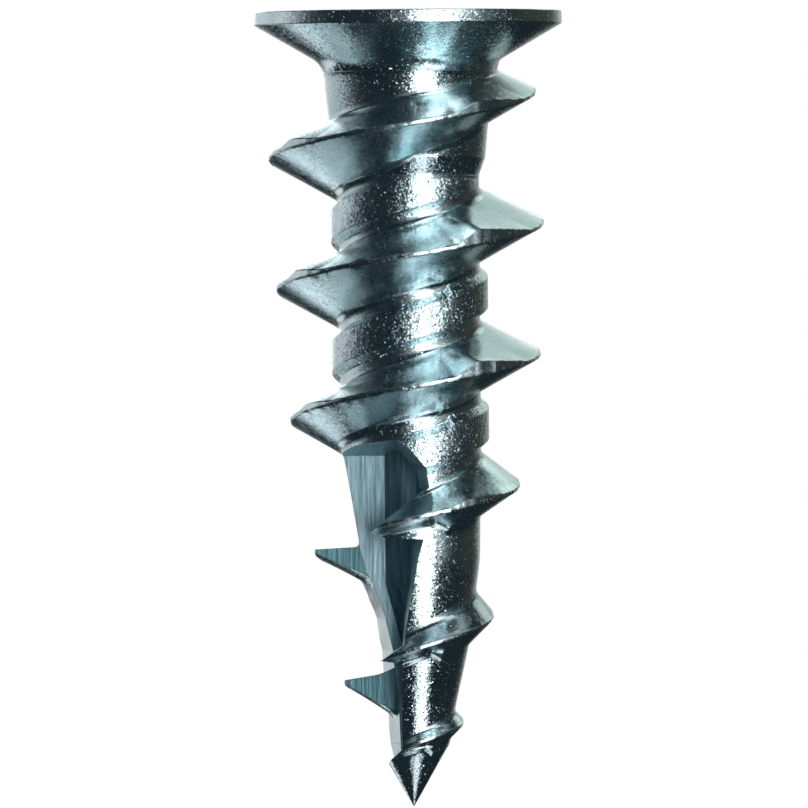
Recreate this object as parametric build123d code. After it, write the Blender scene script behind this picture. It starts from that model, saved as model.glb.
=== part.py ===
from build123d import *
import os
from math import cos, pi, radians, sin, tan

# Self-drilling plasterboard anchor, one zinc die casting for a No. 8 screw.
# Millimetres. Origin at the centre of the head's top face, +Z out of the wall.
# The open window of the nose faces -Y. Each named solid is one region of the
# casting; neighbours meet face to face.

# ---- driving dimensions ----
LENGTH = 32.0
HEAD_RADIUS = 6.20
RIM_HEIGHT = 0.52
HEAD_BASE_Z = -2.42
CORE_TOP_Z = -6.62
CORE_RADIUS = 2.82
NOSE_TOP_Z = -17.20

# radius and depth of the corners under the rim, down to the top of the nose
UPPER_PROFILE = [
    (6.20, -0.52), (3.95, -1.83), (3.62, -2.08), (3.42, -2.42),
    (3.20, -4.60), (3.08, -5.90), (2.82, -6.62), (2.82, -17.20),
]

# depth and radius down the nose
NOSE_PROFILE = [(-22.1, 2.74), (-23.3, 2.64), (-25.6, 2.25), (-27.85, 1.74)]
TIP_TOP_Z = -29.46
TIP_HALF_ANGLE = 30.0

BORE_RADIUS = 1.75
BORE_END_Z = -16.40
PILOT_RADIUS = 1.07
PILOT_TOP_Z = -17.40
PILOT_TAPER_Z = -23.0
PILOT_END_Z = -27.05

RECESS_SPAN_TOP = 6.2
RECESS_SPAN_BOTTOM = 3.9
RECESS_WIDTH_TOP = 1.30
RECESS_WIDTH_BOTTOM = 1.00
RECESS_DEPTH = 2.9

# deep thread: right handed, values at every half turn counted down from +X
TABLE_START = -1
HALF_TURN = 2.636
FIRST_CREST_Z = -3.26
CREST_LAND = 0.16
THREAD_INNER_RADIUS = 1.25
CREST_RADII = [4.2, 5.11, 5.62, 5.39, 5.35, 5.23, 4.83, 4.35, 3.90, 3.24, 2.74, 2.0, 1.45]
UPPER_RISE = [1.3, 1.73, 2.0, 1.85, 1.85, 1.81, 1.69, 2.3, 0.15, 2.4, 0.25, 0.8, 0.3]
LOWER_DROP = [1.5, 2.01, 2.3, 2.13, 2.13, 2.05, 1.93, 2.0, 1.13, 1.9, 0.85, 0.7, 0.3]
TIP_HALF_TURN = 1.65
TIP_START = 9.0
ROOT_STEP = 0.5
# die parting lines, every quarter turn, counted in half turns
PARTING = 0.322
THREAD_FIRST_QUARTER = -1
RIDGE_BREAK_QUARTERS = [13, 17, 21]
STEPS_PER_QUARTER = 5
# the right and front slides leave a small upright facet above their lower ends
SLIDES = 4
FACET_LIFTS = {0: 0.46, 1: 0.22}
FACET_FULL_HEIGHT = 2.0

# low thread: a shallow flat band midway between the deep turns
BAND_HEIGHT = 0.33
BAND_TOP_HALF = 0.70
BAND_ROOT_HALF = 0.98
BAND_TOP_Z = -6.76
BAND_FIRST_QUARTER = 0
BAND_LAST_QUARTER = 9
BAND_BURY = 0.30

# window of the nose, x and z of its corners, at the pilot bore and outside
WINDOW_DEPTH_IN = 1.05
WINDOW_DEPTH_OUT = 2.82
WINDOW_IN = [
    (-4.6, -17.62), (-0.52, -17.63), (-0.29, -17.91), (0.21, -18.47),
    (0.35, -19.16), (0.40, -19.32), (-1.68, -20.97), (-1.04, -21.17),
    (0.13, -21.27), (0.03, -22.10), (-0.09, -23.02), (-0.22, -23.91),
    (-0.39, -25.48), (-1.28, -26.12), (-0.44, -26.24), (-0.47, -29.70),
    (-1.04, -30.23), (-4.6, -30.23),
]
WINDOW_OUT = [
    (-4.6, -17.19), (-0.52, -17.23), (0.02, -17.71), (0.61, -18.42),
    (0.75, -19.16), (0.50, -19.32), (-1.68, -20.97), (-1.04, -21.17),
    (0.49, -21.25), (0.24, -22.10), (0.09, -23.02), (-0.08, -23.91),
    (-0.35, -25.48), (-1.28, -26.12), (-0.44, -26.24), (-0.47, -29.70),
    (-1.04, -30.23), (-4.6, -30.23),
]

# slender leg: depth down the nose, x of its flank at the cut face and behind
LEG_BACK_DEPTH = 1.60
LEG_FLANK = [
    (-17.23, -2.90, -2.90), (-17.95, -2.70, -2.70), (-19.04, -2.50, -2.50),
    (-21.29, -2.13, -2.13), (-22.46, -1.85, -2.05), (-23.02, -1.57, -1.97),
    (-23.67, -1.34, -1.69), (-24.43, -1.07, -1.37), (-25.68, -0.80, -1.17),
    (-27.69, -0.56, -1.05), (-30.23, -0.48, -1.05),
]
REACH = 8.0
SLAB_WIDTH = 20.0
RECESS_TURN = 45.0
TIP_ROUNDING = 0.3


def blend_table(table, at, first):
    """Smooth value of a half-turn table at a count of half turns."""
    place = min(max(at - first, 0.0), len(table) - 1.001)
    low = int(place)
    share = 0.5 - 0.5 * cos(pi * (place - low))
    return table[low] * (1 - share) + table[low + 1] * share


def crest_z(at):
    """Height of the deep crest after a count of half turns from +X."""
    regular = min(at, TIP_START)
    return FIRST_CREST_Z - HALF_TURN * regular - TIP_HALF_TURN * (at - regular)


def on_helix(radius, at, z):
    return (radius * cos(-pi * at), radius * sin(-pi * at), z)


def quarter_coil(section, quarter):
    """Thread between two parting lines, its corners given at each station."""
    first = PARTING + 0.5 * (quarter - 1)
    rails = [[] for _ in range(4)]
    for i in range(STEPS_PER_QUARTER + 1):
        at = first + 0.5 * i / STEPS_PER_QUARTER
        for rail, (radius, z) in zip(rails, section(at, first + 0.5)):
            rail.append(on_helix(radius, at, z))
    edges = [Edge.make_spline([Vector(*p) for p in rail]) for rail in rails]
    faces = []
    for i in range(4):
        faces.append(Face.make_surface_from_curves(edges[i], edges[(i + 1) % 4]))
    for end in (0, -1):
        corners = [rail[end] for rail in rails]
        faces.append(Face(Wire.make_polygon(corners, close=True)))
    return Solid(Shell(faces))


def facet_lift(low_end, height):
    """Height of the upright facet that a slide leaves at its lower end."""
    slide = round((low_end - PARTING) / 0.5) % SLIDES
    return FACET_LIFTS.get(slide, 0.0) * min(1.0, max(0.0, height / FACET_FULL_HEIGHT))


def deep_section(at, low_end):
    """Corners of the deep ridge; low_end is the parting line below it."""
    radius = blend_table(CREST_RADII, at, TABLE_START)
    rise = blend_table(UPPER_RISE, at, TABLE_START)
    drop = blend_table(LOWER_DROP, at, TABLE_START)
    half = CREST_LAND / 2
    z = crest_z(at)
    root_radius = min(CORE_RADIUS, radius - ROOT_STEP)
    root_z = z + half + rise * (radius - root_radius) / (radius - THREAD_INNER_RADIUS)
    lift = facet_lift(low_end, radius - root_radius)
    top_z = max(z, crest_z(low_end) + lift) + half if lift else z + half
    slope = (root_z - top_z) / (radius - root_radius)
    return [
        (radius, top_z),
        (THREAD_INNER_RADIUS, root_z + slope * (root_radius - THREAD_INNER_RADIUS)),
        (THREAD_INNER_RADIUS, z - half - drop),
        (radius, z - half),
    ]


def band_section(at, low_end):
    """Corners of the low band."""
    z = crest_z(at) - HALF_TURN
    slope = (BAND_ROOT_HALF - BAND_TOP_HALF) / BAND_HEIGHT
    buried = CORE_RADIUS - BAND_BURY
    wide = BAND_ROOT_HALF + slope * BAND_BURY
    return [
        (CORE_RADIUS + BAND_HEIGHT, z + BAND_TOP_HALF),
        (buried, z + wide),
        (buried, z - wide),
        (CORE_RADIUS + BAND_HEIGHT, z - BAND_TOP_HALF),
    ]


def outline():
    """Half profile of the unthreaded casting, head to tip."""
    tip_radius = (LENGTH + TIP_TOP_Z) * tan(radians(TIP_HALF_ANGLE))
    corners = [(0, 0), (HEAD_RADIUS, 0)] + UPPER_PROFILE
    edges = []
    for (r0, z0), (r1, z1) in zip(corners, corners[1:]):
        edges.append(Edge.make_line((r0, 0, z0), (r1, 0, z1)))
    nose = [(CORE_RADIUS, NOSE_TOP_Z)] + [(r, z) for z, r in NOSE_PROFILE]
    nose.append((tip_radius, TIP_TOP_Z))
    ends = [Vector(0, 0, -1), Vector(-TIP_ROUNDING, 0, -1)]
    edges.append(Edge.make_spline([Vector(r, 0, z) for r, z in nose], tangents=ends))
    edges.append(Edge.make_line((tip_radius, 0, TIP_TOP_Z), (0, 0, -LENGTH)))
    edges.append(Edge.make_line((0, 0, -LENGTH), (0, 0, 0)))
    return Face(Wire(edges))


def upper_rings():
    """The solid upper casting as one plain disc or cone per profile step."""
    corners = [(HEAD_RADIUS, 1.0)] + UPPER_PROFILE
    rings = []
    for (r0, z0), (r1, z1) in zip(corners, corners[1:]):
        ring = Wire.make_polygon([(0, 0, z0), (r0, 0, z0), (r1, 0, z1), (0, 0, z1)], close=True)
        rings.append(Solid.revolve(Face(ring), 360, Axis.Z))
    return rings


def clear_of_upper(shape):
    """A thread with everything inside the upper casting taken away."""
    for ring in upper_rings():
        shape = shape - ring
    return shape


def bore():
    """Screw bore, its step down to the pilot and the pilot's tapered end."""
    points = [
        (0, 1), (BORE_RADIUS, 1), (BORE_RADIUS, BORE_END_Z),
        (PILOT_RADIUS, PILOT_TOP_Z), (PILOT_RADIUS, PILOT_TAPER_Z), (0, PILOT_END_Z),
    ]
    face = Face(Wire.make_polygon([(r, 0, z) for r, z in points], close=True))
    return Solid.revolve(face, 360, Axis.Z)


def recess():
    """Cross recess: two tapered bars crossed at a right angle."""
    bars = []
    for turn in (0, 90):
        plane_top = Plane(origin=(0, 0, 0.01), x_dir=(1, 0, 0), z_dir=(0, 0, 1))
        plane_low = Plane(origin=(0, 0, -RECESS_DEPTH), x_dir=(1, 0, 0), z_dir=(0, 0, 1))
        wide = plane_top * Rectangle(RECESS_SPAN_TOP, RECESS_WIDTH_TOP)
        slim = plane_low * Rectangle(RECESS_SPAN_BOTTOM, RECESS_WIDTH_BOTTOM)
        bars.append(Rot(0, 0, RECESS_TURN + turn) * loft([wide.face(), slim.face()], ruled=True))
    return bars[0] + bars[1]


def at_depth(points, depth):
    """Closed wire of x, z corners standing at a depth in front of the axis."""
    return Wire.make_polygon([(x, -depth, z) for x, z in points], close=True)


def window():
    """Cutter for the open window, its edges drafted outwards."""
    back = []
    share = WINDOW_DEPTH_IN / (WINDOW_DEPTH_OUT - WINDOW_DEPTH_IN)
    for (xi, zi), (xo, zo) in zip(WINDOW_IN, WINDOW_OUT):
        back.append((xi - (xo - xi) * share, zi - (zo - zi) * share))
    near = Solid.make_loft([at_depth(back, 0), at_depth(WINDOW_OUT, WINDOW_DEPTH_OUT)], ruled=True)
    face = Face(at_depth(WINDOW_OUT, WINDOW_DEPTH_OUT))
    far = Solid.extrude(face, Vector(0, -REACH + WINDOW_DEPTH_OUT, 0))
    return near + far


def leg_flank():
    """Cutter that slims the open side of the nose to a slender leg."""
    ends = []
    for share in (-0.3, 2.0):
        side = [(x0 + (x1 - x0) * share, z) for z, x0, x1 in LEG_FLANK]
        side += [(-REACH, LEG_FLANK[-1][0]), (-REACH, LEG_FLANK[0][0])]
        ends.append(at_depth(side, -LEG_BACK_DEPTH * share))
    return Solid.make_loft(ends, ruled=True)


def slab(top, bottom):
    """Wide block between two heights."""
    return Pos(0, 0, (top + bottom) / 2) * Box(SLAB_WIDTH, SLAB_WIDTH, top - bottom)


def one(shape):
    """The largest solid of a result."""
    return max(shape.solids(), key=lambda s: s.volume)


def deep_ridge(first, last):
    """Deep thread over a run of quarter turns, cleared of its neighbours."""
    quarters = []
    for quarter in range(first, last + 1):
        piece = quarter_coil(deep_section, quarter) - hollow - opening
        quarters.append(clear_of_upper(piece) - nose_legs - drill_point)
    return one(quarters[0].fuse(*quarters[1:]))


def low_band():
    """The low thread, level at its upper end under the neck."""
    quarters = []
    for quarter in range(BAND_FIRST_QUARTER, BAND_LAST_QUARTER + 1):
        piece = quarter_coil(band_section, quarter) & slab(BAND_TOP_Z, -LENGTH)
        if piece:
            quarters.append(clear_of_upper(piece) - nose_legs - opening - trim)
    return one(quarters[0].fuse(*quarters[1:]))


hollow = bore()
opening = window()
trim = leg_flank()
body = Solid.revolve(outline(), 360, Axis.Z) - hollow - recess() - opening - trim
head_flange = one(body & slab(1, HEAD_BASE_Z))
neck_collar = one(body & slab(HEAD_BASE_Z, CORE_TOP_Z))
barrel = one(body & slab(CORE_TOP_Z, BORE_END_Z))
nose_legs = one(body & slab(BORE_END_Z, TIP_TOP_Z))
drill_point = one(body & slab(TIP_TOP_Z, -LENGTH - 1))

# the window breaks the deep thread into three ridges
ridge_names = ["deep_thread", "nose_ridge_upper", "nose_ridge_lower"]
ridge_starts = [THREAD_FIRST_QUARTER] + [q + 1 for q in RIDGE_BREAK_QUARTERS]

nodes = {
    "head_flange": head_flange,
    "neck_collar": neck_collar,
    "barrel": barrel,
    "low_thread": low_band(),
    "nose_legs": nose_legs,
    "drill_point": drill_point,
}
for name, first, last in zip(ridge_names, ridge_starts, RIDGE_BREAK_QUARTERS):
    nodes[name] = deep_ridge(first, last)

os.makedirs("parts", exist_ok=True)
for name, shape in nodes.items():
    export_step(shape, f"parts/{name}.step")
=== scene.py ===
import bmesh
import bpy
from math import cos, pi, radians, sin, tan
from mathutils import Matrix, Vector, noise

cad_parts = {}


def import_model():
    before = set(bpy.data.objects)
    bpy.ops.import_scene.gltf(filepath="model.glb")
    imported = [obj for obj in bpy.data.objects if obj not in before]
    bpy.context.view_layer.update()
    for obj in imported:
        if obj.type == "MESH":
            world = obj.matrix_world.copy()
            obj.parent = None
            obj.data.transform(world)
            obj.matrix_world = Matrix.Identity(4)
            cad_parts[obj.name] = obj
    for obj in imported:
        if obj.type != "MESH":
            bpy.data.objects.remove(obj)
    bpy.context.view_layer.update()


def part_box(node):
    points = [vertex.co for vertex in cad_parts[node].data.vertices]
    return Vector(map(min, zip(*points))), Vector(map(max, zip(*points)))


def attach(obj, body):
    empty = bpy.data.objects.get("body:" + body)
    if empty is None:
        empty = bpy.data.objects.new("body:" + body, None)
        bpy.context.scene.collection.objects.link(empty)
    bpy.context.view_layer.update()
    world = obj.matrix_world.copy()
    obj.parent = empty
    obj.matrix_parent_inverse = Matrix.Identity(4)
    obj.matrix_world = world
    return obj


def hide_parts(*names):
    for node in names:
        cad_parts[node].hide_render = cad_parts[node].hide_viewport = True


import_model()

# Lengths are millimetres until loft() turns them into metres.
MM = 0.001

# ---- the casting, as in the CAD model ----
LENGTH = -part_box("drill_point")[0][2] / MM
HEAD_RADIUS = 6.20
HEAD_BASE_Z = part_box("head_flange")[0][2] / MM
NECK_BASE_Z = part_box("neck_collar")[0][2] / MM
BARREL_BASE_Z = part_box("barrel")[0][2] / MM
CORE_RADIUS = 2.82
BORE_RADIUS = 1.75

# radius, height and rounding of each corner from the rim down to the nose
OUTLINE = [
    (1.75, 0.0, 0.0), (6.20, 0.0, 0.06), (6.20, -0.52, 0.05), (3.45, -2.12, 1.05), (3.20, -4.60, 3.0),
    (3.08, -5.90, 0.25), (2.84, -6.56, 0.10), (2.82, -6.80, 0.3), (2.82, -17.20, 3.0),
    (2.74, -22.10, 6.0), (2.25, -25.60, 6.0), (1.74, -27.85, 6.0), (1.46, -29.46, 0.0),
]

# ---- deep thread: values at each half turn counted down from +X ----
TABLE_START = -1
HALF_TURN = 2.636
FIRST_CREST_Z = -3.26
TIP_HALF_TURN = 1.65
TIP_START = 9.0
THREAD_INNER_RADIUS = 1.25
CREST_LAND = 0.15
CREST_RADII = [4.2, 5.11, 5.62, 5.39, 5.35, 5.23, 4.83, 4.35, 3.90, 3.24, 2.74, 2.0, 1.45]
UPPER_RISE = [1.3, 1.73, 2.0, 1.85, 1.85, 1.81, 1.69, 2.3, 0.15, 2.4, 0.25, 0.8, 0.3]
LOWER_DROP = [1.5, 2.01, 2.3, 2.13, 2.13, 2.05, 1.93, 2.0, 1.13, 1.9, 0.85, 0.7, 0.3]
PARTING = 0.322

# ---- finish ----
ZINC = (0.76, 0.89, 0.915)
ZINC_DULL = (0.61, 0.75, 0.785)
EDGE_ROUNDING = 0.045

# ---- window of the nose: x and z of its corners at the pilot bore and outside ----
WINDOW_DEPTH_IN = 1.05
WINDOW_DEPTH_OUT = 2.82
WINDOW_IN = [
    (-4.6, -17.62), (-0.52, -17.63), (-0.29, -17.91), (0.21, -18.47),
    (0.35, -19.16), (0.40, -19.32), (-1.68, -20.97), (-1.04, -21.17),
    (0.13, -21.27), (0.03, -22.10), (-0.09, -23.02), (-0.22, -23.91),
    (-0.39, -25.48), (-1.28, -26.12), (-0.44, -26.24), (-0.47, -29.70),
    (-1.04, -30.23), (-4.6, -30.23),
]
WINDOW_OUT = [
    (-4.6, -17.19), (-0.52, -17.23), (0.02, -17.71), (0.61, -18.42),
    (0.75, -19.16), (0.50, -19.32), (-1.68, -20.97), (-1.04, -21.17),
    (0.49, -21.25), (0.24, -22.10), (0.09, -23.02), (-0.08, -23.91),
    (-0.35, -25.48), (-1.28, -26.12), (-0.44, -26.24), (-0.47, -29.70),
    (-1.04, -30.23), (-4.6, -30.23),
]

# ---- slender leg: depth, x of its flank at the cut face and LEG_BACK_DEPTH behind ----
LEG_BACK_DEPTH = 1.60
LEG_FLANK = [
    (-17.23, -2.90, -2.90), (-17.95, -2.70, -2.70), (-19.04, -2.50, -2.50),
    (-21.29, -2.13, -2.13), (-22.46, -1.85, -2.05), (-23.02, -1.57, -1.97),
    (-23.67, -1.34, -1.69), (-24.43, -1.07, -1.37), (-25.68, -0.80, -1.17),
    (-27.69, -0.56, -1.05), (-30.23, -0.48, -1.05),
]
REACH = 8.0
# threads end this much behind the window's faces, where they are buried in the casting
SET_BACK = (0.010, 0.004, 0.003)

# ---- bores and cross recess ----
PILOT = [(1.75, -16.40), (1.07, -17.40), (1.07, -23.00), (0.01, -27.05)]
RECESS_DEPTH = 2.9
RECESS_HALF_SPAN = (3.10, 1.95)
RECESS_HALF_WIDTH = (0.65, 0.50)
TIP_TOP_Z = -29.46


def node_graph(tree):
    """Short way to add nodes: add(kind, inputs, settings) returns the node."""
    tree.nodes.clear()

    def add(kind, inputs=None, **settings):
        node = tree.nodes.new("ShaderNode" + kind)
        for key, value in settings.items():
            setattr(node, key, value)
        for key, value in (inputs or {}).items():
            if isinstance(value, bpy.types.NodeSocket):
                tree.links.new(value, node.inputs[key])
            else:
                node.inputs[key].default_value = value
        return node

    def ramp(source, stops):
        node = add("ValToRGB", {0: source})
        elements = node.color_ramp.elements
        while len(elements) < len(stops):
            elements.new(0.5)
        for element, (place, colour) in zip(elements, stops):
            grey = isinstance(colour, (int, float))
            element.position = place
            element.color = (colour, colour, colour, 1) if grey else (*colour, 1)
        return node.outputs[0]

    def math(operation, a, b=0.0, c=0.0):
        return add("Math", {0: a, 1: b, 2: c}, operation=operation).outputs[0]

    def vector(operation, a, b=(0, 0, 0), scale=1.0):
        node = add("VectorMath", {0: a, 1: b}, operation=operation)
        if operation == "SCALE":
            if isinstance(scale, bpy.types.NodeSocket):
                tree.links.new(scale, node.inputs["Scale"])
            else:
                node.inputs["Scale"].default_value = scale
        return node.outputs[1] if operation in ("LENGTH", "DISTANCE") else node.outputs[0]

    return add, ramp, math, vector


def zinc(name, sparkle, peel, rough=(0.10, 0.20)):
    """Bright blue zinc plate over a die casting."""
    material = bpy.data.materials.new(name)
    material.use_nodes = True
    add, ramp, math, vector = node_graph(material.node_tree)
    place = vector("SCALE", add("TexCoord").outputs["Object"], scale=1 / MM)
    normal = add("Bevel", {"Radius": EDGE_ROUNDING * MM}, samples=4).outputs[0]

    # grains: small cells, each tilted its own way, a few of them strongly
    wander = add("TexNoise", {"Vector": place, "Scale": 12.0, "Detail": 2.0})
    shaken = vector("ADD", place, vector("SCALE", wander.outputs["Color"], scale=0.14))
    cells = add("TexVoronoi", {"Vector": shaken, "Scale": 21.0})
    tilt = vector("SUBTRACT", cells.outputs["Color"], (0.5, 0.5, 0.5))
    size = math("MULTIPLY", vector("LENGTH", tilt), 1.45)
    strength = math("MULTIPLY_ADD", math("POWER", size, 7.0), sparkle * 4.0, sparkle)
    grains = vector("NORMALIZE", vector("ADD", normal, vector("SCALE", tilt, scale=strength)))

    # orange peel and fine scratches
    soft = add("TexNoise", {"Vector": place, "Scale": 2.2, "Detail": 3.0, "Roughness": 0.6})
    fine = add("TexNoise", {"Vector": place, "Scale": 8.0, "Detail": 3.0, "Roughness": 0.65})
    height = math("ADD", math("MULTIPLY", soft.outputs[0], 0.75), math("MULTIPLY", fine.outputs[0], 0.45))
    bump = add("Bump", {"Strength": peel, "Distance": 0.03 * MM, "Height": height, "Normal": grains})
    scratches = None
    for turn, seed in (((0.3, 0.2, 0.5), 0.0), ((1.1, 0.7, -0.4), 7.0)):
        rotated = add("Mapping", {"Vector": place, "Rotation": turn, "Location": (seed, seed, seed)})
        long = add("Mapping", {"Vector": rotated.outputs[0], "Scale": (9.0, 9.0, 0.55)})
        lines = add("TexNoise", {"Vector": long.outputs[0], "Scale": 1.6, "Detail": 1.0, "Distortion": 0.4})
        mark = ramp(lines.outputs[0], [(0.735, 0.0), (0.765, 1.0)])
        scratches = mark if scratches is None else math("MAXIMUM", scratches, mark)
    nicked = add("Bump", {"Strength": 0.5, "Distance": 0.02 * MM, "Height": scratches,
                          "Normal": bump.outputs[0]}, invert=True)

    tint = add("TexNoise", {"Vector": place, "Scale": 0.55, "Detail": 3.0})
    metal = ramp(tint.outputs[0], [(0.35, ZINC_DULL), (0.62, ZINC)])
    shine = ramp(soft.outputs[0], [(0.35, rough[0]), (0.65, rough[1])])
    shine = math("MAXIMUM", shine, math("MULTIPLY", scratches, 0.4))
    bsdf = add("BsdfPrincipled", {"Base Color": metal, "Metallic": 1.0, "Roughness": shine,
                                  "Normal": nicked.outputs[0]})
    add("OutputMaterial", {"Surface": bsdf.outputs[0]})
    return material


def drawn_zinc(name, dark, light, metallic):
    """Matt teal finish of the faces that the die cores leave, striped down their length."""
    material = bpy.data.materials.new(name)
    material.use_nodes = True
    add, ramp, math, vector = node_graph(material.node_tree)
    place = vector("SCALE", add("TexCoord").outputs["Object"], scale=1 / MM)
    edges = add("Bevel", {"Radius": EDGE_ROUNDING * MM}, samples=4).outputs[0]
    stripes = add("Mapping", {"Vector": place, "Scale": (7.0, 7.0, 0.45)})
    drawn = add("TexNoise", {"Vector": stripes.outputs[0], "Scale": 1.0, "Detail": 4.0})
    grain = add("TexNoise", {"Vector": place, "Scale": 14.0, "Detail": 3.0})
    height = math("ADD", drawn.outputs[0], math("MULTIPLY", grain.outputs[0], 0.35))
    bump = add("Bump", {"Strength": 0.55, "Distance": 0.03 * MM, "Height": height, "Normal": edges})
    metal = ramp(drawn.outputs[0], [(0.35, dark), (0.65, light)])
    shine = ramp(grain.outputs[0], [(0.3, 0.34), (0.7, 0.46)])
    bsdf = add("BsdfPrincipled", {"Base Color": metal, "Metallic": metallic, "Roughness": shine,
                                  "Normal": bump.outputs[0]})
    add("OutputMaterial", {"Surface": bsdf.outputs[0]})
    return material


def rounded(corners, step=radians(4), steps=None):
    """Outline through (radius, z, rounding) corners, each turn an arc; steps fixes its divisions."""
    points = [Vector(corners[0][:2])]
    for before, here, after in zip(corners, corners[1:], corners[2:]):
        corner = Vector(here[:2])
        back = Vector(before[:2]) - corner
        ahead = Vector(after[:2]) - corner
        turn = pi - back.angle(ahead)
        reach = min(here[2] * tan(turn / 2), back.length * 0.48, ahead.length * 0.48)
        if reach < 1e-4:
            points.append(corner)
            continue
        start = corner + back.normalized() * reach
        end = corner + ahead.normalized() * reach
        count = steps or max(2, int(turn / step))
        for i in range(count + 1):
            t = i / count
            points.append(start.lerp(corner, t).lerp(corner.lerp(end, t), t))
    points.append(Vector(corners[-1][:2]))
    return points


def divided(points, longest):
    """The same outline with no stretch longer than a given length."""
    result = [points[0]]
    for a, b in zip(points, points[1:]):
        count = max(1, int((b - a).length / longest + 0.999))
        result += [a.lerp(b, (i + 1) / count) for i in range(count)]
    return result


def between(points, top, bottom):
    """The stretch of a falling outline between two heights."""
    result = []
    for a, b in zip([points[0]] + points, points):
        for z in (top, bottom):
            if b.y < z < a.y:
                result.append(a.lerp(b, (a.y - z) / (a.y - b.y)))
        if bottom <= b.y <= top:
            result.append(b)
    return result


def turn_outward(mesh):
    """All faces looking out of the closed shape."""
    work = bmesh.new()
    work.from_mesh(mesh)
    bmesh.ops.recalc_face_normals(work, faces=work.faces)
    work.to_mesh(mesh)
    work.free()


def loft(name, loops, wrap, sharp=35):
    """Closed mesh through loops of points; wrap joins the last loop to the first."""
    mesh = bpy.data.meshes.new(name)
    count = len(loops[0])
    points = [(x * MM, y * MM, z * MM) for loop in loops for x, y, z in loop]
    faces = []
    for i in range(len(loops) if wrap else len(loops) - 1):
        a = i * count
        b = (i + 1) % len(loops) * count
        for j in range(count):
            k = (j + 1) % count
            faces.append((a + j, b + j, b + k, a + k))
    if not wrap:
        faces.append(tuple(range(count)))
        faces.append(tuple(reversed(range((len(loops) - 1) * count, len(loops) * count))))
    mesh.from_pydata(points, [], faces)
    mesh.validate()
    turn_outward(mesh)
    mesh.shade_smooth()
    mesh.set_sharp_from_angle(angle=radians(sharp))
    piece = bpy.data.objects.new(name, mesh)
    bpy.context.collection.objects.link(piece)
    return piece


def lathe(name, outline, segments=320):
    """Closed body of revolution."""
    loops = []
    for i in range(segments):
        a = 2 * pi * i / segments
        loops.append([(p.x * cos(a), p.x * sin(a), p.y) for p in outline])
    return loft(name, loops, True)


def cast_texture(piece, amount, size):
    """Slight unevenness of a casting, moved into the mesh itself."""
    mesh = piece.data
    shifts = []
    for vertex in mesh.vertices:
        place = vertex.co / (size * MM)
        wave = noise.noise(place) + 0.5 * noise.noise(place * 2.7)
        shifts.append(vertex.normal * (wave * amount * MM))
    for vertex, shift in zip(mesh.vertices, shifts):
        vertex.co += shift


# points nearer than this are one point, in metres
WELD = 1e-7


def drop_folded_faces(mesh):
    """Removes the faces without area, and those folded flat onto each other, that a cut leaves."""
    work = bmesh.new()
    work.from_mesh(mesh)
    bmesh.ops.remove_doubles(work, verts=work.verts, dist=WELD)
    bmesh.ops.dissolve_degenerate(work, edges=work.edges, dist=WELD)
    bmesh.ops.triangulate(work, faces=[face for face in work.faces if len(face.verts) > 4])
    work.verts.index_update()
    alike = {}
    for face in work.faces:
        alike.setdefault(frozenset(vertex.index for vertex in face.verts), []).append(face)
    folded = [face for faces in alike.values() if len(faces) > 1 for face in faces]
    bmesh.ops.delete(work, geom=folded, context="FACES")
    work.to_mesh(mesh)
    work.free()


def cut(piece, *cutters):
    """Takes cutters away from a piece; the new faces keep the cutter's material."""
    for cutter in cutters:
        modifier = piece.modifiers.new("cut", "BOOLEAN")
        modifier.operation = "DIFFERENCE"
        modifier.solver = "EXACT"
        modifier.material_mode = "TRANSFER"
        modifier.object = cutter
        graph = bpy.context.evaluated_depsgraph_get()
        mesh = bpy.data.meshes.new_from_object(piece.evaluated_get(graph))
        piece.modifiers.remove(modifier)
        if not mesh.polygons:
            raise RuntimeError(f"the cut left nothing of {piece.name}")
        piece.data = mesh
        bpy.data.objects.remove(cutter)
    drop_folded_faces(mesh)
    mesh.shade_smooth()
    mesh.set_sharp_from_angle(angle=radians(30))


def turned(name, outline, segments=256):
    """Solid of revolution from (radius, z) points, closed flat at both ends."""
    loops = []
    for p in outline:
        circle = [2 * pi * i / segments for i in range(segments)]
        loops.append([(p[0] * cos(a), p[0] * sin(a), p[1]) for a in circle])
    return loft(name, loops, False)


def window_cutter(finish, shift=(0.0, 0.0, 0.0)):
    """Open window of the nose, its edges drafted outwards."""
    share = WINDOW_DEPTH_IN / (WINDOW_DEPTH_OUT - WINDOW_DEPTH_IN)
    back = []
    for (xi, zi), (xo, zo) in zip(WINDOW_IN, WINDOW_OUT):
        back.append((xi - (xo - xi) * share, 0.0, zi - (zo - zi) * share))
    loops = [back]
    for depth in (WINDOW_DEPTH_OUT, REACH):
        loops.append([(x, -depth, z) for x, z in WINDOW_OUT])
    loops = [[(x + shift[0], y + shift[1], z + shift[2]) for x, y, z in loop] for loop in loops]
    cutter = loft("window_cutter", loops, False)
    cutter.data.materials.append(finish)
    return cutter


def leg_cutter():
    """Takes the open side of the nose down to a slender leg."""
    loops = []
    for share in (-0.3, 2.0):
        side = [(x0 + (x1 - x0) * share, LEG_BACK_DEPTH * share, z) for z, x0, x1 in LEG_FLANK]
        side.append((-REACH, LEG_BACK_DEPTH * share, LEG_FLANK[-1][0]))
        side.append((-REACH, LEG_BACK_DEPTH * share, LEG_FLANK[0][0]))
        loops.append(side)
    cutter = loft("leg_cutter", loops, False)
    cutter.data.materials.append(smooth)
    return cutter


def pilot_cutter():
    """Pilot bore of the nose with its tapered end."""
    top = (PILOT[0][0], PILOT[0][1] + 1.0)
    cutter = turned("pilot_cutter", [top] + PILOT, 128)
    cutter.data.materials.append(core_finish)
    return cutter


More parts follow.
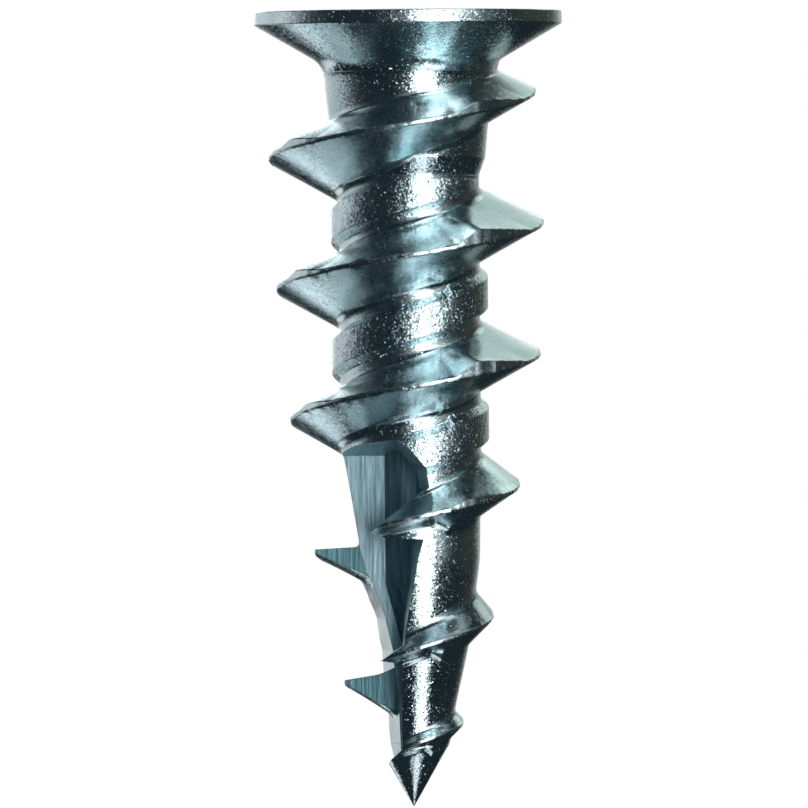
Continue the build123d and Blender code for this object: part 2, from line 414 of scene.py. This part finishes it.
def recess_cutters():
    """Two tapered bars, crossed at a right angle."""
    bars = []
    for turn in (45, 135):
        c = cos(radians(turn))
        s = sin(radians(turn))
        loops = []
        for z, long, wide in zip((0.01, -RECESS_DEPTH), RECESS_HALF_SPAN, RECESS_HALF_WIDTH):
            corners = [(long, wide), (-long, wide), (-long, -wide), (long, -wide)]
            loops.append([(x * c - y * s, x * s + y * c, z) for x, y in corners])
        bar = loft("recess_cutter", loops, False)
        bar.data.materials.append(core_finish)
        bars.append(bar)
    return bars


def table(values, at):
    """Smooth value of a half-turn table at a count of half turns."""
    place = min(max(at - TABLE_START, 0.0), len(values) - 1.001)
    low = int(place)
    share = 0.5 - 0.5 * cos(pi * (place - low))
    return values[low] * (1 - share) + values[low + 1] * share


def crest_z(at):
    """Height of the deep crest after a count of half turns."""
    regular = min(at, TIP_START)
    return FIRST_CREST_Z - HALF_TURN * regular - TIP_HALF_TURN * (at - regular)


outline = rounded(OUTLINE)


def body_radius(z):
    """Radius of the unthreaded casting at a height."""
    for a, b in zip(outline, outline[1:]):
        if b.y <= z <= a.y and a.y > b.y:
            return a.x + (b.x - a.x) * (a.y - z) / (a.y - b.y)
    return outline[-1].x if z < outline[-1].y else HEAD_RADIUS


def leg_radius(z, at):
    """Distance from the axis to the slender leg's flank, at one place of the helix."""
    c = cos(pi * at)
    s = -sin(pi * at)
    for (z0, front0, back0), (z1, front1, back1) in zip(LEG_FLANK, LEG_FLANK[1:]):
        if z1 <= z <= z0:
            share = (z0 - z) / (z0 - z1)
            front = front0 + (front1 - front0) * share
            back = back0 + (back1 - back0) * share
            across = c - s * (back - front) / LEG_BACK_DEPTH
            return front / across if across < -0.05 and s > -0.2 else HEAD_RADIUS
    return HEAD_RADIUS


def root_radius(z, at):
    """Radius at which a thread is rooted, on the casting or on the slender leg."""
    return min(body_radius(z), leg_radius(z, at))


# ---- small upright facets that the die leaves above its parting lines ----
# half turns from the parting line, then the half turns over which the facet rises and falls
FACETS = [(0.0, 0.183, 0.060), (0.5, 0.085, 0.050)]


def facet_lift(at, height):
    """Height of the upright facet above the upper edge of a crest of a given height."""
    lift = 0.0
    for offset, run, fall in FACETS:
        past = (at - PARTING - offset + run) % 2.0
        if past < run:
            lift = max(lift, past * HALF_TURN)
        elif past < run + fall:
            lift = max(lift, run * HALF_TURN * (1 - (past - run) / fall))
    return lift * min(1.0, max(0.0, (height - 0.8) / 1.6))


FILLET = 0.27
LEVEL_SHARE = 0.62
LEVEL_FROM = 6.0
THREAD_START = -0.62
THREAD_RUN_IN = 0.40
FILLET_STEPS = 6
FLANK_STEPS = 5
BURY = 0.14
EDGE = 0.035
CREST_DEPTH = 0.09


def flank_root(radius, z, inner_z, at):
    """Where a straight flank from the crest meets the casting."""
    slope = (inner_z - z) / (radius - THREAD_INNER_RADIUS)
    r = radius
    step = 0.1
    while step > 0.0005:
        if r - step > THREAD_INNER_RADIUS and r - step > root_radius(z + slope * (radius - r + step), at):
            r -= step
        else:
            step *= 0.5
    return Vector((r, z + slope * (radius - r)))


def flank(crest, root, side, at):
    """Crest edge to buried root along one flank; side is +1 above, -1 below."""
    along = crest - root
    fillet = min(FILLET, along.length * 0.45)
    start = root + along.normalized() * fillet
    end_z = root.y + side * fillet
    end = Vector((root_radius(end_z, at), end_z))
    points = [crest.lerp(start, i / FLANK_STEPS) for i in range(FLANK_STEPS)]
    for i in range(FILLET_STEPS + 1):
        t = i / FILLET_STEPS
        points.append(start.lerp(root, t).lerp(root.lerp(end, t), t))
    deep_z = end_z + side * 0.2
    points.append(Vector((root_radius(deep_z, at) - BURY, deep_z)))
    return points


def underside(at):
    """Share of the lower flank's fall that is left: the front slide draws it nearly level on the nose."""
    past = (at - PARTING) % 2.0
    edge = 0.07
    inside = min(1.0, max(0.0, past / edge), max(0.0, (0.5 + edge - past) / edge))
    return 1.0 - LEVEL_SHARE * inside if at > LEVEL_FROM else 1.0


def ridge_section(at):
    """Closed outline of the deep ridge at a count of half turns."""
    z = crest_z(at)
    start = min(1.0, max(0.06, (at - THREAD_START) / THREAD_RUN_IN))
    radius = table(CREST_RADII, at)
    if start < 1.0:
        radius = max(radius, body_radius(z)) * start + body_radius(z) * (1 - start)
    half = CREST_LAND / 2
    high = z + half
    low = z - half
    upper_root = flank_root(radius, high, high + table(UPPER_RISE, at), at)
    lower_root = flank_root(radius, low, low - table(LOWER_DROP, at) * underside(at), at)
    height = radius - upper_root.x
    top = high + 0.012 + facet_lift(at, height)
    ragged = min(1.0, height / 1.5)
    share = min(0.5, CREST_DEPTH / max(height, 0.01))
    upper = flank(Vector((radius, top)).lerp(upper_root, share), upper_root, 1, at)
    lower = flank(Vector((radius, low)).lerp(lower_root, share), lower_root, -1, at)
    waves = 0.03 * noise.noise((at * 31.0, 0.0, 5.0)) + 0.04 * noise.noise((at * 90.0, 3.0, 0.0))
    radius += ragged * waves
    top += ragged * 0.035 * noise.noise((at * 75.0, 9.0, 2.0))
    low += ragged * 0.030 * noise.noise((at * 75.0, 4.0, 7.0))
    crest = [
        Vector((radius - EDGE, top + EDGE * 0.4)), Vector((radius, top - EDGE * 0.4)),
        Vector((radius + 0.01, high)), Vector((radius + 0.015, z)),
        Vector((radius, low + EDGE * 0.4)), Vector((radius - EDGE, low - EDGE * 0.4)),
    ]
    return list(reversed(upper)) + crest + lower


def helix_loop(section, at):
    """A section of (radius, z) points stood at its place on the helix."""
    c = cos(pi * at)
    s = -sin(pi * at)
    return [(p.x * c, p.x * s, p.y) for p in section]


STATIONS = 110


def ridge(name, first, last, section):
    """Thread between two counts of half turns, lofted through its sections."""
    count = int((last - first) * STATIONS)
    loops = []
    for i in range(count + 1):
        at = first + (last - first) * i / count
        loops.append(helix_loop(section(at), at))
    return loft(name, loops, False)


# ---- low thread: flat band midway between the deep turns ----
BAND_HEIGHT = 0.33
BAND_UPPER = 0.48
BAND_LOWER = 0.75
BAND_CHAMFER = 0.26
BAND_TOP_Z = -6.76
BAND_START = 0.10
BAND_RUN_IN = 0.15
# the right slide lifts the band's edges towards its lower end
BAND_LIFT_UPPER = 0.20
BAND_LIFT_LOWER = 0.14
BAND_LIFT_RUN = 0.32
BAND_LIFT_FALL = 0.012


def band_section(at):
    """Closed outline of the low band, level under the neck, stepped at one parting line."""
    past = (at - PARTING + BAND_LIFT_RUN) % 2.0
    share = 0.0
    if past < BAND_LIFT_RUN:
        share = past / BAND_LIFT_RUN
    elif past < BAND_LIFT_RUN + BAND_LIFT_FALL:
        share = 1 - (past - BAND_LIFT_RUN) / BAND_LIFT_FALL
    z = crest_z(at) - HALF_TURN
    upper = BAND_UPPER + BAND_LIFT_UPPER * share
    lower = BAND_LOWER - BAND_LIFT_LOWER * share
    top = CORE_RADIUS + BAND_HEIGHT * min(1.0, (at - BAND_START) / BAND_RUN_IN + 0.1)
    inner = CORE_RADIUS - 0.35
    corners = [
        (inner, upper + BAND_CHAMFER + 0.25, 0.0), (CORE_RADIUS, upper + BAND_CHAMFER + 0.08, 0.08),
        (CORE_RADIUS + 0.01, upper + BAND_CHAMFER, 0.10), (top, upper, 0.07),
        (top, -lower, 0.07), (CORE_RADIUS + 0.01, -lower - BAND_CHAMFER, 0.10),
        (CORE_RADIUS, -lower - BAND_CHAMFER - 0.08, 0.08), (inner, -lower - BAND_CHAMFER - 0.25, 0.0),
    ]
    points = rounded(corners, steps=4)
    return [Vector((p.x, min(p.y + z, BAND_TOP_Z - 0.0004 * i))) for i, p in enumerate(points)]


# ---- studio: azimuth from the front towards +X, and brightness, at eye level ----
SIDES = [
    (-180, (0.60, 0.62, 0.63)), (-165, (0.62, 0.62, 0.62)), (-106, (0.62, 0.63, 0.64)),
    (-92, (0.26, 0.27, 0.28)), (-78, (0.050, 0.050, 0.054)), (-62, (0.005, 0.005, 0.006)),
    (-18, (0.005, 0.005, 0.006)), (-6, (0.12, 0.13, 0.13)), (0, (0.24, 0.26, 0.27)),
    (44, (0.50, 0.52, 0.52)), (56, (0.22, 0.25, 0.25)), (68, (0.040, 0.042, 0.042)),
    (84, (0.008, 0.008, 0.008)), (104, (0.035, 0.026, 0.016)), (128, (0.030, 0.024, 0.016)),
    (144, (0.13, 0.12, 0.10)), (160, (0.42, 0.43, 0.40)), (180, (0.60, 0.62, 0.60)),
]
# azimuth, elevation, full and vanishing radius in degrees, colour
SOFT_LIGHTS = [
    (-172, 13.0, 9.0, 18.0, (0.85, 0.95, 0.95)),
    (166, 34.0, 10.0, 19.0, (0.50, 0.60, 0.56)),
    (143, 30.0, 8.0, 16.0, (0.60, 0.66, 0.60)),
    (-165, -40.0, 5.0, 11.0, (0.9, 1.0, 1.05)),
    (-143, -24.0, 9.0, 17.0, (0.80, 0.82, 0.84)),
    (70, 35.0, 6.0, 22.0, (0.06, 0.12, 0.14)),
]
# the front light's azimuth at eye level, and how far it swings at the zenith
FRONT_LIGHT = 23.0
FRONT_SWING = 45.0
# heights of the front light as sines of elevation, and its colour there
FRONT_HEIGHTS = [
    (-0.95, (0.0, 0.0, 0.0)), (-0.90, (1.0, 1.05, 1.1)), (-0.46, (1.2, 1.25, 1.3)),
    (-0.34, (2.6, 2.6, 2.6)), (0.30, (2.6, 2.6, 2.6)), (0.46, (0.9, 0.95, 1.0)),
    (0.84, (0.8, 0.9, 0.95)), (0.92, (0.0, 0.0, 0.0)),
]
# soft light from overhead: the sines of elevation where it starts and is full, and its colour
OVERHEAD_FROM = 0.80
OVERHEAD_FULL = 0.95
OVERHEAD = (0.42, 0.46, 0.48)
AMBIENT = (0.012, 0.020, 0.024)
# sines of elevation between which the light at eye level fades in, below and above
SIDES_BELOW = (-0.26, -0.03)
SIDES_ABOVE = (0.46, 0.26)
# degrees either side of its middle where the front light ends and is full
FRONT_EDGE = (18, 10)
# the front light is wider near its foot, where angles from its middle count for less
FRONT_FOOT = (-0.88, -0.80)
FOOT_SHARE = 0.4


def world():
    """Dark studio with soft lights; the backdrop that the camera sees is plain white."""
    w = bpy.data.worlds.new("studio")
    bpy.context.scene.world = w
    w.use_nodes = True
    add, ramp, math, vector = node_graph(w.node_tree)

    def fade(value, start, end):
        node = add("MapRange", {"Value": value, "From Min": start, "From Max": end},
                   interpolation_type="SMOOTHSTEP")
        return node.outputs[0]

    toward = add("TexCoord").outputs["Generated"]
    split = add("SeparateXYZ", {0: toward}).outputs
    azimuth = math("ARCTAN2", split["X"], math("MULTIPLY", split["Y"], -1.0))
    share = add("MapRange", {"Value": azimuth, "From Min": -pi, "From Max": pi}).outputs[0]
    around = ramp(share, [((deg + 180) / 360, colour) for deg, colour in SIDES])
    level = math("MULTIPLY", fade(split["Z"], *SIDES_BELOW), fade(split["Z"], *SIDES_ABOVE))
    light = vector("SCALE", around, scale=level)

    swing = math("MULTIPLY", math("POWER", math("MAXIMUM", split["Z"], 0.0), 2.0), radians(FRONT_SWING))
    away = math("ABSOLUTE", math("SUBTRACT", math("SUBTRACT", azimuth, swing), radians(FRONT_LIGHT)))
    narrowing = math("MULTIPLY_ADD", fade(split["Z"], *FRONT_FOOT), 1 - FOOT_SHARE, FOOT_SHARE)
    away = math("MULTIPLY", away, narrowing)
    strip = ramp(math("MULTIPLY_ADD", split["Z"], 0.5, 0.5),
                 [(0.5 + z / 2, colour) for z, colour in FRONT_HEIGHTS])
    front = fade(away, radians(FRONT_EDGE[0]), radians(FRONT_EDGE[1]))
    light = vector("ADD", light, vector("SCALE", strip, scale=front))
    for turn, rise, full, gone, colour in SOFT_LIGHTS:
        a = radians(turn)
        e = radians(rise)
        centre = (sin(a) * cos(e), -cos(a) * cos(e), sin(e))
        near = add("VectorMath", {0: toward, 1: centre}, operation="DOT_PRODUCT").outputs[1]
        spot = fade(near, cos(radians(gone)), cos(radians(full)))
        light = vector("ADD", light, vector("SCALE", colour, scale=spot))
    above = fade(split["Z"], OVERHEAD_FROM, OVERHEAD_FULL)
    light = vector("ADD", light, vector("SCALE", OVERHEAD, scale=above))
    light = vector("ADD", light, AMBIENT)
    seen = add("LightPath").outputs["Is Camera Ray"]
    colour = add("Mix", {"Factor": seen, "A": light, "B": (1, 1, 1, 1)}, data_type="RGBA")
    background = add("Background", {"Color": colour.outputs["Result"], "Strength": 1.0})
    add("OutputWorld", {"Surface": background.outputs[0]})


CAMERA_DISTANCE = 0.9
VIEW_WIDTH = 32.52
VIEW_CENTRE = (-0.27, 0, -15.80)
ROLL = -0.47


def camera():
    """Long lens, level with the object, which leans a little in the frame."""
    cam = bpy.data.cameras.new("camera")
    ob = bpy.data.objects.new("camera", cam)
    bpy.context.collection.objects.link(ob)
    cam.sensor_width = 36
    cam.lens = cam.sensor_width * CAMERA_DISTANCE / (VIEW_WIDTH * MM)
    cam.clip_start = 0.1
    cam.clip_end = 20
    centre = Vector([value * MM for value in VIEW_CENTRE])
    turn = Matrix.Rotation(radians(90), 4, "X") @ Matrix.Rotation(radians(ROLL), 4, "Z")
    ob.matrix_world = Matrix.Translation(centre + Vector((0, -CAMERA_DISTANCE, 0))) @ turn
    bpy.context.scene.camera = ob


FLOOR_HALF_SIDE = 50.0
FLOOR_GAP = 0.6


def floor():
    """Plain pale floor under the tip, kept out of the metal's reflections."""
    s = FLOOR_HALF_SIDE * MM
    z = -(LENGTH + FLOOR_GAP) * MM
    mesh = bpy.data.meshes.new("floor")
    mesh.from_pydata([(-s, -s, z), (s, -s, z), (s, s, z), (-s, s, z)], [], [(0, 1, 2, 3)])
    ob = bpy.data.objects.new("floor", mesh)
    bpy.context.collection.objects.link(ob)
    m = bpy.data.materials.new("floor")
    m.use_nodes = True
    b = m.node_tree.nodes["Principled BSDF"]
    b.inputs["Base Color"].default_value = (0.9, 0.9, 0.9, 1)
    b.inputs["Roughness"].default_value = 0.9
    b.inputs["Emission Color"].default_value = (0.92, 0.92, 0.92, 1)
    b.inputs["Emission Strength"].default_value = 1.0
    mesh.materials.append(m)
    ob.visible_glossy = False
    ob.visible_diffuse = False


speckled = zinc("bright_zinc_speckled", 0.13, 1.5, (0.06, 0.12))
cast = zinc("bright_zinc_cast", 0.07, 0.6, (0.07, 0.14))
smooth = zinc("bright_zinc_smooth", 0.030, 0.22, (0.14, 0.24))
core_finish = drawn_zinc("zinc_core_faces", (0.26, 0.52, 0.63), (0.70, 0.90, 0.96), 0.62)
fin_finish = drawn_zinc("zinc_fin_faces", (0.12, 0.28, 0.32), (0.22, 0.42, 0.47), 0.85)


def finish_piece(piece, *nodes):
    """The piece rides on the one body and stands for its CAD nodes."""
    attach(piece, "root")
    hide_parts(*nodes)


def bored_ring(name, top, bottom, finish):
    """Stretch of the casting round the screw bore, between two heights."""
    side = between(outer, top, bottom)
    piece = lathe(name, side + [Vector((BORE_RADIUS, bottom)), Vector((BORE_RADIUS, top))])
    piece.data.materials.append(finish)
    return piece


# half turns at which each thread ends, and between which each nose ridge runs
THREAD_END = 6.80
BAND_END = 4.60
NOSE_RIDGES = [("nose_ridge_upper", 6.84, 8.80), ("nose_ridge_lower", 8.84, 10.62)]
OUTLINE_STEP = 0.20
TIP_STEPS = 8
POINT_RADIUS = 0.01

outer = divided(outline, OUTLINE_STEP)
head = lathe("head", between(outer, 0.0, HEAD_BASE_Z) + [Vector((BORE_RADIUS, HEAD_BASE_Z))])
head.data.materials.append(cast)
cast_texture(head, 0.006, 0.8)
cut(head, *recess_cutters())
finish_piece(head, "head_flange")

neck = bored_ring("neck", HEAD_BASE_Z, NECK_BASE_Z, cast)
cut(neck, *recess_cutters())
finish_piece(neck, "neck_collar")

shank = bored_ring("shank", NECK_BASE_Z, BARREL_BASE_Z, smooth)
finish_piece(shank, "barrel")

thread = ridge("thread", THREAD_START, THREAD_END, ridge_section)
thread.data.materials.append(smooth)
cut(thread, window_cutter(fin_finish, SET_BACK))
finish_piece(thread, "deep_thread")

band = ridge("band", BAND_START, BAND_END, band_section)
band.data.materials.append(speckled)
cut(band, window_cutter(fin_finish, SET_BACK))
finish_piece(band, "low_thread")

nose = turned("nose", between(outer, BARREL_BASE_Z, TIP_TOP_Z))
nose.data.materials.append(cast)
cut(nose, pilot_cutter(), window_cutter(core_finish), leg_cutter())
finish_piece(nose, "nose_legs")

tip_side = []
for i in range(TIP_STEPS + 1):
    share = i / TIP_STEPS
    radius = outer[-1].x * (1 - share) + POINT_RADIUS * share
    tip_side.append((radius, TIP_TOP_Z - (LENGTH + TIP_TOP_Z) * share))
tip = turned("tip", tip_side)
tip.data.materials.append(cast)
cut(tip, window_cutter(core_finish), leg_cutter())
finish_piece(tip, "drill_point")

for name, first, last in NOSE_RIDGES:
    piece = ridge(name.replace("nose_", ""), first, last, ridge_section)
    piece.data.materials.append(smooth)
    cut(piece, window_cutter(fin_finish, SET_BACK))
    finish_piece(piece, name)

world()
camera()
floor()
bpy.context.scene.view_settings.view_transform = "Standard"
